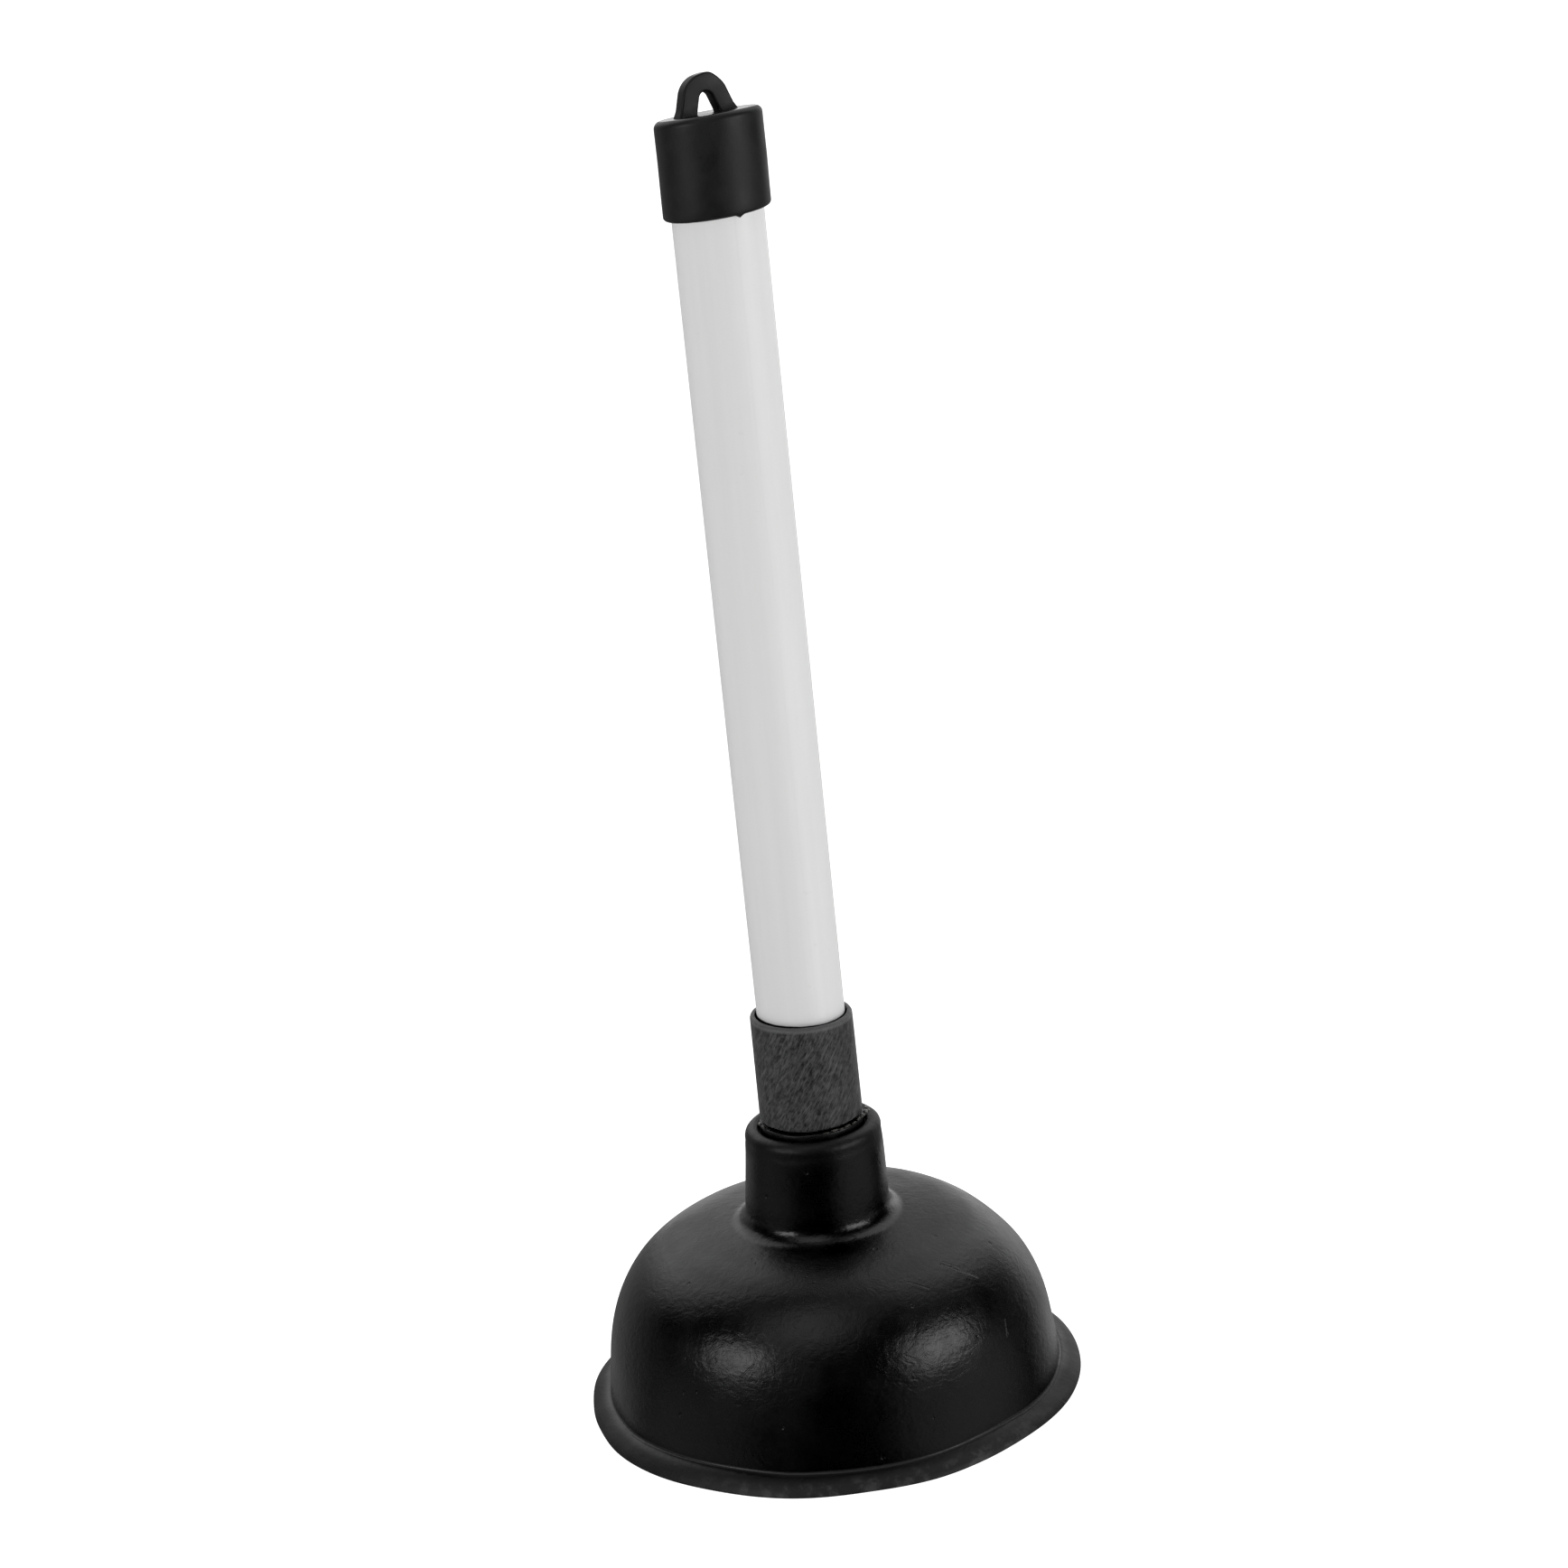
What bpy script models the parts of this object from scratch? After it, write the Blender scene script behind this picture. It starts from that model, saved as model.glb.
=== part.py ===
"""A sink plunger: a rubber cup on a short white handle with a hanging cap.

The plunger stands upright on its lip. Z is its axis and z = 0 is the plane of the lip. All sizes are metres.
Outlines are lists of (radius, height) points, turned about Z.
"""

import math

import bmesh
import bpy

# Clearance kept between pieces that touch.
GAP = 0.0003

# Rubber cup: lip, bell and neck.
RIM_RADIUS = 0.0625
RIM_EDGE = 0.0004
RIM_FOOT_WIDTH = 0.0029
LIP_HEIGHT = 0.0042
BEAD_RADIUS = 0.0579
BELL_RADIUS = 0.0570
BELL_HEIGHT = 0.0443
BELL_RADIAL_POWER = 3.43
BELL_AXIAL_POWER = 2.46
BELL_WALL = 0.0032
BELL_STEPS = 13
FOOT_FILLET = 0.0032
NECK_BASE_RADIUS = 0.0177
NECK_TOP_RADIUS = 0.0172
NECK_TOP = 0.0723
MOUTH_OUTER_ROUND = 0.0020
MOUTH_INNER_ROUND = 0.0013
BORE_FLOOR = 0.0507

# Threaded bush moulded into the neck, held by ribs that the rubber flows round.
BUSH_RADIUS = 0.0124
RIB_HEIGHT = 0.0008
RIB_WIDTH = 0.0022
RIB_PLACES = (0.0565, 0.0645)
BUSH_BOTTOM = BORE_FLOOR + GAP
COLLAR_RADIUS = 0.0132
COLLAR_BOTTOM = 0.0706
COLLAR_TOP = 0.0734
RIB_CLEARANCE = 0.0004

# Coarse thread between the bush and the socket's spigot.
THREAD_PITCH = 0.0040
THREAD_DEPTH = 0.0010
THREAD_ROWS_PER_TURN = 6
THREAD_LOW = 0.0550
THREAD_HIGH = 0.0700
SPIGOT_RADIUS = 0.0088
SPIGOT_BOTTOM = 0.0530
THREAD_CLEARANCE = 0.0005

# Charcoal socket that the handle stands in.
SOCKET_BOTTOM_RADIUS = 0.01265
SOCKET_TOP_RADIUS = 0.0125
SOCKET_BOTTOM = 0.0744
SOCKET_FLOOR = 0.0780
SOCKET_TOP = 0.1014
SOCKET_EDGE = 0.0004
SHOULDER_RADIUS = 0.0116

# Handle: a wooden core in a white sheath.
SHEATH_RADIUS = 0.0110
SHEATH_WALL = 0.0005
HANDLE_TOP = 0.3218
CORE_CHAMFER = 0.0006

# Hanging cap and its loop.
CAP_RADIUS = 0.0128
CAP_BOTTOM = 0.3014
CAP_TOP = 0.3245
CAP_TOP_ROUND = 0.0015
CAP_BOTTOM_ROUND = 0.0005
LOOP_HEIGHT = 0.0090
LOOP_BAND = 0.0037
LOOP_DEPTH = 0.0038
LOOP_HALF_WIDTH = 0.0069
LOOP_LEAN = math.radians(19.0)
LOOP_ROOT = 0.0008
LOOP_EDGE = 0.0005

# Facets around each turned piece.
CUP_SEGMENTS = 48
HANDLE_SEGMENTS = 36


def clear_scene():
    for thing in list(bpy.data.objects):
        bpy.data.objects.remove(thing, do_unlink=True)


def material(name, colour, roughness, metallic=0.0):
    made = bpy.data.materials.new(name)
    made.use_nodes = True
    shader = made.node_tree.nodes["Principled BSDF"]
    shader.inputs["Base Color"].default_value = (*colour, 1.0)
    shader.inputs["Roughness"].default_value = roughness
    shader.inputs["Metallic"].default_value = metallic
    made.diffuse_color = (*colour, 1.0)
    return made


def arc(centre, radius, start, end, steps):
    """Points on an arc, from one angle to another in degrees, counted from +radius towards +height."""
    points = []
    for step in range(steps + 1):
        angle = math.radians(start + (end - start) * step / steps)
        points.append((centre[0] + radius * math.cos(angle), centre[1] + radius * math.sin(angle)))
    return points


def bell_curve(radius, height, base, steps, smallest=0.0):
    """Quarter of a superellipse, from its top down to its foot, starting at the smallest radius."""
    first = math.acos((smallest / radius) ** (BELL_RADIAL_POWER / 2))
    points = []
    for step in range(steps + 1):
        angle = first * (1 - step / steps)
        points.append((
            radius * max(math.cos(angle), 0.0) ** (2 / BELL_RADIAL_POWER),
            base + height * math.sin(angle) ** (2 / BELL_AXIAL_POWER),
        ))
    return points


def ribbed_wall(offset):
    """The bush's ribbed side from the bottom up, moved out by an offset."""
    points = []
    for place in RIB_PLACES:
        points += [
            (BUSH_RADIUS + offset, place - RIB_WIDTH / 2),
            (BUSH_RADIUS + RIB_HEIGHT + offset, place - RIB_WIDTH / 2 + RIB_HEIGHT),
            (BUSH_RADIUS + RIB_HEIGHT + offset, place + RIB_WIDTH / 2 - RIB_HEIGHT),
            (BUSH_RADIUS + offset, place + RIB_WIDTH / 2),
        ]
    return points


def thread_rows():
    """Heights of the rows that carry the thread."""
    turns = (THREAD_HIGH - THREAD_LOW) / THREAD_PITCH
    count = round(turns * THREAD_ROWS_PER_TURN)
    return [THREAD_LOW + (THREAD_HIGH - THREAD_LOW) * row / count for row in range(count + 1)]


def turned(name, outline, segments, look):
    """Spins an outline about Z into one closed solid. A ring's outline ends on its first point."""
    mesh = bpy.data.meshes.new(name)
    bm = bmesh.new()
    is_ring = outline[0] == outline[-1]
    points = outline[:-1] if is_ring else outline
    verts = [bm.verts.new((radius, 0.0, height)) for radius, height in points]
    edges = [bm.edges.new(pair) for pair in zip(verts, verts[1:])]
    if is_ring:
        edges.append(bm.edges.new((verts[-1], verts[0])))
    bmesh.ops.spin(
        bm, geom=verts + edges, cent=(0, 0, 0), axis=(0, 0, 1), angle=math.tau, steps=segments, use_merge=True
    )
    bmesh.ops.remove_doubles(bm, verts=bm.verts, dist=0.000001)
    bmesh.ops.recalc_face_normals(bm, faces=bm.faces)
    bm.to_mesh(mesh)
    bm.free()
    return add_object(name, mesh, look)


def add_object(name, mesh, look):
    mesh.materials.append(look)
    mesh.shade_smooth()
    mesh.set_sharp_from_angle(angle=math.radians(35))
    made = bpy.data.objects.new(name, mesh)
    bpy.context.scene.collection.objects.link(made)
    return made


def roll_thread(thing, smallest, largest):
    """Moves the points between two radii outwards along a right-hand helix, fading out over half a pitch at each end."""
    for vert in thing.data.vertices:
        radius = math.hypot(vert.co.x, vert.co.y)
        if not (smallest < radius < largest and THREAD_LOW < vert.co.z < THREAD_HIGH):
            continue
        turn = vert.co.z / THREAD_PITCH - math.atan2(vert.co.y, vert.co.x) / math.tau
        fade = min(1.0, 2 * min(vert.co.z - THREAD_LOW, THREAD_HIGH - vert.co.z) / THREAD_PITCH)
        height = THREAD_DEPTH * fade * (0.5 - 0.5 * math.cos(math.tau * turn))
        vert.co.x *= (radius + height) / radius
        vert.co.y *= (radius + height) / radius


def make_rubber_cup(look):
    bore = BUSH_RADIUS + RIB_CLEARANCE
    mouth = COLLAR_RADIUS + GAP
    crest = NECK_TOP_RADIUS - MOUTH_OUTER_ROUND
    outline = [(0.0, BORE_FLOOR), (bore, BORE_FLOOR)]
    outline += ribbed_wall(RIB_CLEARANCE)
    outline += [(bore, COLLAR_BOTTOM - GAP), (mouth, COLLAR_BOTTOM - GAP)]
    inner = (mouth + MOUTH_INNER_ROUND, NECK_TOP - MOUTH_INNER_ROUND)
    outline += arc(inner, MOUTH_INNER_ROUND, 180, 90, 3)
    outline += arc((crest, NECK_TOP - MOUTH_OUTER_ROUND), MOUTH_OUTER_ROUND, 90, 0, 4)

    fillet_end = NECK_BASE_RADIUS + FOOT_FILLET
    crown = bell_curve(BELL_RADIUS, BELL_HEIGHT, LIP_HEIGHT, BELL_STEPS, smallest=fillet_end)
    outline += arc((fillet_end, crown[0][1] + FOOT_FILLET), FOOT_FILLET, 180, 270, 5)[:-1]
    outline += crown[:-1]
    outline += [
        (BELL_RADIUS, LIP_HEIGHT + 2 * RIM_EDGE),
        (BEAD_RADIUS - RIM_EDGE, LIP_HEIGHT + RIM_EDGE),
        (BEAD_RADIUS, LIP_HEIGHT),
        (RIM_RADIUS, RIM_EDGE),
        (RIM_RADIUS - RIM_EDGE, 0.0),
        (RIM_RADIUS - RIM_EDGE - RIM_FOOT_WIDTH, 0.0),
    ]
    inside = bell_curve(BELL_RADIUS - BELL_WALL, BELL_HEIGHT - BELL_WALL, LIP_HEIGHT, BELL_STEPS)
    inside[-1] = (inside[-1][0], LIP_HEIGHT + RIM_EDGE)
    outline += reversed(inside)
    turned("rubber_cup", outline, CUP_SEGMENTS, look)


def make_neck_bush(look):
    bore = SPIGOT_RADIUS + THREAD_CLEARANCE
    rounding = arc((COLLAR_RADIUS - RIM_EDGE, COLLAR_TOP - RIM_EDGE), RIM_EDGE, 0, 90, 2)
    outline = [(bore, BUSH_BOTTOM), (BUSH_RADIUS, BUSH_BOTTOM)]
    outline += ribbed_wall(0.0)
    outline += [(BUSH_RADIUS, COLLAR_BOTTOM), (COLLAR_RADIUS, COLLAR_BOTTOM)]
    outline += rounding
    outline += [(bore, COLLAR_TOP)]
    outline += [(bore, height) for height in reversed(thread_rows())]
    outline += [outline[0]]
    bush = turned("neck_bush", outline, HANDLE_SEGMENTS, look)
    roll_thread(bush, bore - GAP, bore + GAP)


def make_handle_socket(look):
    inside = SHEATH_RADIUS + GAP
    rim = (SOCKET_TOP_RADIUS - inside) / 2
    outline = [(0.0, SOCKET_FLOOR), (inside, SOCKET_FLOOR)]
    outline += arc((inside + rim, SOCKET_TOP - rim), rim, 180, 0, 6)
    outline += arc((SOCKET_BOTTOM_RADIUS - SOCKET_EDGE, SOCKET_BOTTOM + SOCKET_EDGE), SOCKET_EDGE, 0, -90, 2)
    outline += [
        (SHOULDER_RADIUS, SOCKET_BOTTOM),
        (SHOULDER_RADIUS, COLLAR_TOP + GAP),
        (SPIGOT_RADIUS, COLLAR_TOP + GAP),
    ]
    outline += [(SPIGOT_RADIUS, height) for height in reversed(thread_rows())]
    outline += [
        (SPIGOT_RADIUS, SPIGOT_BOTTOM + CORE_CHAMFER),
        (SPIGOT_RADIUS - CORE_CHAMFER, SPIGOT_BOTTOM),
        (0.0, SPIGOT_BOTTOM),
    ]
    socket = turned("handle_socket", outline, HANDLE_SEGMENTS, look)
    roll_thread(socket, SPIGOT_RADIUS - GAP, SPIGOT_RADIUS + GAP)


def make_handle_sheath(look):
    inside = SHEATH_RADIUS - SHEATH_WALL
    bottom = SOCKET_FLOOR + GAP
    outline = [(inside, HANDLE_TOP), (SHEATH_RADIUS, HANDLE_TOP), (SHEATH_RADIUS, bottom), (inside, bottom)]
    turned("handle_sheath", outline + outline[:1], HANDLE_SEGMENTS, look)


def make_handle_core(look):
    radius = SHEATH_RADIUS - SHEATH_WALL - GAP
    bottom = SOCKET_FLOOR + GAP
    outline = [
        (0.0, HANDLE_TOP),
        (radius - CORE_CHAMFER, HANDLE_TOP),
        (radius, HANDLE_TOP - CORE_CHAMFER),
        (radius, bottom + CORE_CHAMFER),
        (radius - CORE_CHAMFER, bottom),
        (0.0, bottom),
    ]
    turned("handle_core", outline, HANDLE_SEGMENTS, look)


def loop_outline():
    """The loop's arch in XZ: two legs that lean in, joined by round arcs outside and inside."""
    outer_radius = (LOOP_HALF_WIDTH - LOOP_HEIGHT * math.tan(LOOP_LEAN)) / (
        1 / math.cos(LOOP_LEAN) - math.tan(LOOP_LEAN)
    )
    inner_radius = outer_radius - LOOP_BAND
    centre = (0.0, CAP_TOP + LOOP_HEIGHT - outer_radius)
    root = CAP_TOP - LOOP_ROOT
    lean = math.degrees(LOOP_LEAN)

    def foot(radius):
        return radius / math.cos(LOOP_LEAN) + (centre[1] - root) * math.tan(LOOP_LEAN)

    outline = [(foot(outer_radius), root)]
    outline += arc(centre, outer_radius, lean, 180 - lean, 12)
    outline += [(-foot(outer_radius), root), (-foot(inner_radius), root)]
    outline += arc(centre, inner_radius, 180 - lean, lean, 8)
    outline += [(foot(inner_radius), root)]
    return outline


def make_loop(look):
    """The arch as a solid band with softened edges. It is joined to the cap, so it isn't drawn on its own."""
    mesh = bpy.data.meshes.new("loop")
    bm = bmesh.new()
    face = bm.faces.new([bm.verts.new((x, -LOOP_DEPTH / 2, z)) for x, z in loop_outline()])
    grown = bmesh.ops.extrude_face_region(bm, geom=[face])["geom"]
    moved = [item for item in grown if isinstance(item, bmesh.types.BMVert)]
    bmesh.ops.translate(bm, verts=moved, vec=(0, LOOP_DEPTH, 0))
    rims = [edge for edge in bm.edges if abs(edge.verts[0].co.y - edge.verts[1].co.y) < LOOP_DEPTH / 2]
    bmesh.ops.bevel(bm, geom=rims, offset=LOOP_EDGE, segments=1, affect="EDGES")
    bmesh.ops.recalc_face_normals(bm, faces=bm.faces)
    bm.to_mesh(mesh)
    bm.free()
    loop = add_object("loop", mesh, look)
    loop.hide_render = True
    loop.display_type = "WIRE"
    return loop


def make_hanging_cap(look):
    inside = SHEATH_RADIUS + GAP
    roof = HANDLE_TOP + GAP
    outline = [(0.0, CAP_TOP)]
    outline += arc((CAP_RADIUS - CAP_TOP_ROUND, CAP_TOP - CAP_TOP_ROUND), CAP_TOP_ROUND, 90, 0, 4)
    outline += arc((CAP_RADIUS - CAP_BOTTOM_ROUND, CAP_BOTTOM + CAP_BOTTOM_ROUND), CAP_BOTTOM_ROUND, 0, -90, 2)
    outline += [(inside, CAP_BOTTOM), (inside, roof), (0.0, roof)]
    cap = turned("hanging_cap", outline, HANDLE_SEGMENTS, look)
    joined = cap.modifiers.new("loop", "BOOLEAN")
    joined.operation = "UNION"
    joined.object = make_loop(look)


def main():
    clear_scene()
    make_rubber_cup(material("black_rubber", (0.012, 0.012, 0.013), 0.42))
    make_neck_bush(material("black_hard_plastic", (0.010, 0.010, 0.011), 0.35))
    make_handle_socket(material("charcoal_plastic", (0.050, 0.050, 0.052), 0.55))
    make_handle_core(material("dowel_wood", (0.52, 0.36, 0.20), 0.70))
    make_handle_sheath(material("white_sheath", (0.72, 0.72, 0.72), 0.38))
    make_hanging_cap(material("black_cap_plastic", (0.016, 0.016, 0.017), 0.50))


main()
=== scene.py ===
"""Looks for the sink plunger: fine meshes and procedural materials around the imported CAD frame."""

import math

import bmesh
import bpy
from mathutils import Matrix, Vector, noise


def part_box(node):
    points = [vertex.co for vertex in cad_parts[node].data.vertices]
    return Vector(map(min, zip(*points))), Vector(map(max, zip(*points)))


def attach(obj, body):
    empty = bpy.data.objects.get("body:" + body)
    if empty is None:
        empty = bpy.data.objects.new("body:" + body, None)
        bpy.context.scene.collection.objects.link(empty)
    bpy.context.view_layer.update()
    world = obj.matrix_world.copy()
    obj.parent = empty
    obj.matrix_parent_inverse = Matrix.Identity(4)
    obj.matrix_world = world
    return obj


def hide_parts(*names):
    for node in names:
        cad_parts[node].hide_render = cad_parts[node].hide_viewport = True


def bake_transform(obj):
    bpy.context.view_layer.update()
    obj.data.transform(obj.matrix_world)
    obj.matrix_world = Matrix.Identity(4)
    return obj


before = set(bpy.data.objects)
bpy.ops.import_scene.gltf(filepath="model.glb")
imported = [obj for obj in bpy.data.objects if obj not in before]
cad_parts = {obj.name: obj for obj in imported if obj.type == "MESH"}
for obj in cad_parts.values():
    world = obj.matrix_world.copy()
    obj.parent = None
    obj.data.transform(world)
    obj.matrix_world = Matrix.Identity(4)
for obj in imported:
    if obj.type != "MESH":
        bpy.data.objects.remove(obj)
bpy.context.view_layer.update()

MM = 0.001

# Camera: its ground distance and height, how far it stands round from the front, and its aim.
CAMERA_DISTANCE = 0.880
CAMERA_HEIGHT = 0.429
CAMERA_TURN = 25.0
CAMERA_PITCH = 16.95
CAMERA_YAW = 0.11
CAMERA_ROLL = -5.90
CAMERA_LENS = 86.4

# Sizes that the CAD nodes state.
_, cup_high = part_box("rubber_cup")
socket_low, socket_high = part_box("handle_socket")
bush_low, bush_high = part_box("neck_bush")
sheath_low, sheath_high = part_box("handle_sheath")
cap_low, cap_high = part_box("hanging_cap")
RIM_RADIUS = cup_high.x
NECK_TOP = cup_high.z
SOCKET_TOP = socket_high.z
SPIGOT_BOTTOM = socket_low.z
BUSH_BOTTOM = bush_low.z
COLLAR_TOP = bush_high.z
COLLAR_RADIUS = bush_high.x
SHEATH_RADIUS = sheath_high.x
HANDLE_TOP = sheath_high.z
HANDLE_FOOT = sheath_low.z
CAP_RADIUS = cap_high.x
CAP_BOTTOM = cap_low.z
LOOP_HEIGHT = 9.0 * MM
LOOP_TOP = 9.25 * MM
CAP_TOP = cap_high.z - LOOP_HEIGHT

# Rubber cup.
GAP = 0.3 * MM
RIM_EDGE = 0.35 * MM
RIM_FOOT_WIDTH = 2.9 * MM
LIP_TOP = 3.75 * MM
LIP_INNER = 58.1 * MM
LIP_POWER = 1.35
WALL_FOOT_FILLET = 0.6 * MM
WALL_FLARE = 0.45 * MM
BELL_RADIUS = 57.0 * MM
BELL_BASE = 4.2 * MM
BELL_HEIGHT = 44.3 * MM
BELL_RADIAL_POWER = 3.43
BELL_AXIAL_POWER = 2.46
BELL_WALL = 3.2 * MM
FOOT_FILLET = 4.6 * MM
SHOULDER_SAG = 0.9 * MM
NECK_BASE_RADIUS = 18.2 * MM
NECK_TOP_RADIUS = 17.2 * MM
NECK_FOOT = 49.2 * MM
MOUTH_OUTER_ROUND = 2.7 * MM
MOUTH_INNER_ROUND = 1.3 * MM
SAG_END = 39.0 * MM
FLARE_END = 15.0 * MM
BORE_RADIUS = 12.8 * MM
BORE_FLOOR = BUSH_BOTTOM - GAP
COLLAR_BOTTOM = 70.6 * MM

# How the soft cup departs from a turned shape. It sits a little to the left of the handle, its surface
# undulates, and its lip waves in and out, and up and down. Each wave is an angle round from the camera, how
# far it pushes in or lifts, and a half width. A dent in the bell also has a height and a half height. The
# waves fade out up the bell, between two heights, and the shift fades out up the neck.
LIP_FADE = (5 * MM, 14 * MM)
SHIFT_FADE_START = 46 * MM
BORE_MARGIN = 1.5 * MM
CUP_SHIFT = 0.85 * MM
CUP_UNDULATION = 0.14 * MM
MOUTH_UNEVENNESS = 1.2
LIP_SPREAD = 0.4 * MM
LIP_WAVES = (
    (-75.0, 0.5 * MM, 9.0), (-32.0, 0.4 * MM, 10.0), (5.0, 0.25 * MM, 7.0), (45.0, 0.85 * MM, 14.0),
    (-112.0, -1.1 * MM, 16.0), (-12.0, -0.3 * MM, 9.0), (20.0, -0.35 * MM, 8.0), (112.0, -0.9 * MM, 16.0),
    (-90.0, 0.6 * MM, 10.0),
)
LIP_LIFTS = ((-38.0, 0.45 * MM, 26.0), (15.0, -0.3 * MM, 21.5), (62.0, -0.5 * MM, 16.6))
BELL_DENTS = ((108.0, 0.8 * MM, 25.0, 38.0 * MM, 7.0 * MM),)
# Small scratches on the bell, each from one (angle round from the camera, height in mm) to another.
SCRATCHES = (
    ((-25.4, 27.0), (-21.8, 30.0)), ((-33.4, 30.3), (-33.0, 29.7)), ((-27.0, 25.3), (-26.4, 24.9)),
    ((45.5, 42.3), (49.0, 40.1)), ((46.8, 42.4), (50.2, 40.4)), ((49.0, 40.1), (53.4, 37.4)),
    ((83.5, 37.8), (83.4, 37.0)), ((44.5, 30.4), (43.9, 27.6)), ((53.7, 27.1), (52.0, 23.6)),
    ((29.0, 41.9), (34.6, 39.7)),
)
MOUTH_CREASE = 0.10 * MM
MOUTH_CREASE_DROP = 3.6 * MM
MOUTH_CREASE_WIDTH = 0.8 * MM
UNEVEN_MOUTH = (62 * MM, 69 * MM)

# Where the rubber's look changes, as heights. Its lip is coloured paler, partly dust and partly a painted
# sheen, with paler scuffs strongest at one angle round from the camera, also partly painted sheen, and a
# painted highlight line in the crease at the wall's foot.
DUSTY_AND_LIT_LIP = (LIP_TOP - 1.0 * MM, LIP_TOP + 0.6 * MM)
SCUFFED_AND_LIT_LIP = (2.1 * MM, 3.4 * MM)
SCUFFS_AND_SHEEN_TURN = 14.0
CREASE_RISE = 0.25 * MM
CREASE_EDGE = (0.2 * MM, 0.5 * MM)
MATTE_SHOULDER = 45.0 * MM
MATTE_MOUTH = (64 * MM, 69 * MM)

# Handle pieces.
SOCKET_BOTTOM = 74.4 * MM
SOCKET_FLOOR = HANDLE_FOOT - GAP
SOCKET_BOTTOM_RADIUS = 12.95 * MM
SOCKET_TOP_RADIUS = 12.8 * MM
SOCKET_EDGE = 0.4 * MM
SOCKET_MOUTH_ROUND = 0.8 * MM
SOCKET_MOUTH_GAP = 0.5 * MM
SHOULDER_RADIUS = 11.6 * MM
SPIGOT_RADIUS = 9.3 * MM
BUSH_RADIUS = 12.4 * MM
BUSH_BORE = 9.8 * MM
SHEATH_WALL = 0.5 * MM
SHEATH_LAP = 0.06 * MM
# Painted shade: the film is painted near-black at the socket's mouth, up to this uneven height and leaning
# across the handle, as the dark line of shade in the gap.
SHADE_LINE_HEIGHT = 0.35 * MM
SHADE_LINE_LEAN = 0.018
SHEATH_WAVER = 0.05 * MM
LAP_TURN = 19.0
SOCKET_TOP_SLANT = math.tan(math.radians(-2.2))

# Flecks of set glue on the collar: angle round from the camera, and size, distance out and height in mm.
GLUE_FLECKS = (
    (14, 0.55, 12.9, 0.10), (24, 0.70, 12.9, 0.20), (33, 0.60, 13.0, 0.15), (42, 0.75, 13.0, 0.25),
    (52, 0.65, 13.1, 0.2), (62, 0.8, 13.2, 0.45), (70, 1.0, 13.6, 0.6), (78, 0.9, 13.9, 0.8),
    (84, 0.6, 14.4, 0.4), (92, 0.7, 13.9, 0.5), (-68, 0.6, 13.2, 0.3), (-77, 0.7, 13.5, 0.4),
)

# Hanging cap. It sits askew: its rims slope up to the camera's right and its roof falls away behind.
CAP_TOP_ROUND = 1.8 * MM
CAP_BOTTOM_ROUND = 0.9 * MM
CAP_SIDE_TILT = 4.0
CAP_BACK_TILT = -4.0
FLASH_TURN = 25.0
FLASH_HALF_WIDTH = 3.0
FLASH_LENGTH = 0.6 * MM
LOOP_BAND = 4.3 * MM
LOOP_DEPTH = 3.9 * MM
LOOP_HALF_WIDTH = 7.35 * MM
LOOP_LEAN = math.radians(18.0)
LOOP_SHIFT = 0.45 * MM
LOOP_ROOT = 0.8 * MM
LOOP_FOOT_FLARE = 0.25 * MM
LOOP_HUMP = 0.35 * MM
LOOP_CORNER = 0.6 * MM
LOOP_HOLLOW = 0.18 * MM

# Light. Each glow of the surroundings is an angle round from the camera, a lift, the angles at which it
# stops being full and ends, and its strength.
FLOOR_GLOW = 1.0
WORLD_BASE = 0.035
GLOWS = (
    (0, 82, 8, 22, 0.15),
    (-22, 61, 8, 27, 0.68),
    (-146, 43, 8, 32, 1.0),
    (-168, 20, 6, 24, 0.50),
    (-146, -6, 10, 42, 0.20),
    (143, 46, 10, 33, 0.92),
    (103, 62, 6, 22, 0.35),
    (152, 10, 6, 26, 0.42),
    (153, -5, 8, 34, 0.50),
    (180, -2, 6, 17, 0.85),
    (66, -18, 12, 46, 0.28),
    (-75, -20, 10, 40, 0.17),
)
BLACK_LEVEL = 0.0028
# Each lamp's name, direction (angle round from the camera, lift), width, height and radiance.
LAMPS = (
    ("left_softbox", (-54, 24), 0.53, 0.38, 3.4),
    ("right_softbox", (58, 18), 0.68, 0.37, 3.5),
)
LAMP_DISTANCE = 1.2
LAMP_TARGET_HEIGHT = 0.05
FLOOR_HALF = 9.0

# How finely the meshes are cut.
CUP_SEGMENTS = 256
HANDLE_SEGMENTS = 144
LIP_STEPS = 28
BEND_STEPS = 32
LEG_STEPS = 14


# ---------------------------------------------------------------- directions

def around(turn, lift=0.0):
    """A unit vector, turned degrees to the right of the camera as seen from the plunger, and lifted."""
    angle = math.radians(turn - CAMERA_TURN)
    level = math.cos(math.radians(lift))
    return Vector((math.sin(angle) * level, -math.cos(angle) * level, math.sin(math.radians(lift))))


RIGHT = around(90.0)
AWAY = around(180.0)


def turn_of(point):
    """How many degrees a point lies to the right of the camera, from -180 to 180."""
    return math.degrees(math.atan2(point.dot(RIGHT), -point.dot(AWAY)))


def on_bell(turn, height):
    """The point of the bell's skin at an angle round from the camera and a height in millimetres."""
    rise = (height * MM - BELL_BASE) / BELL_HEIGHT
    slope = math.asin(rise ** (BELL_AXIAL_POWER / 2))
    radius = BELL_RADIUS * math.cos(slope) ** (2 / BELL_RADIAL_POWER)
    return around(turn) * radius + Vector((0, 0, height * MM)) - RIGHT * CUP_SHIFT


def smooth(value, low, high):
    """0 below low, 1 above high, and a smooth step between."""
    share = min(1.0, max(0.0, (value - low) / (high - low)))
    return share * share * (3 - 2 * share)


# ---------------------------------------------------------------- meshes

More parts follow.
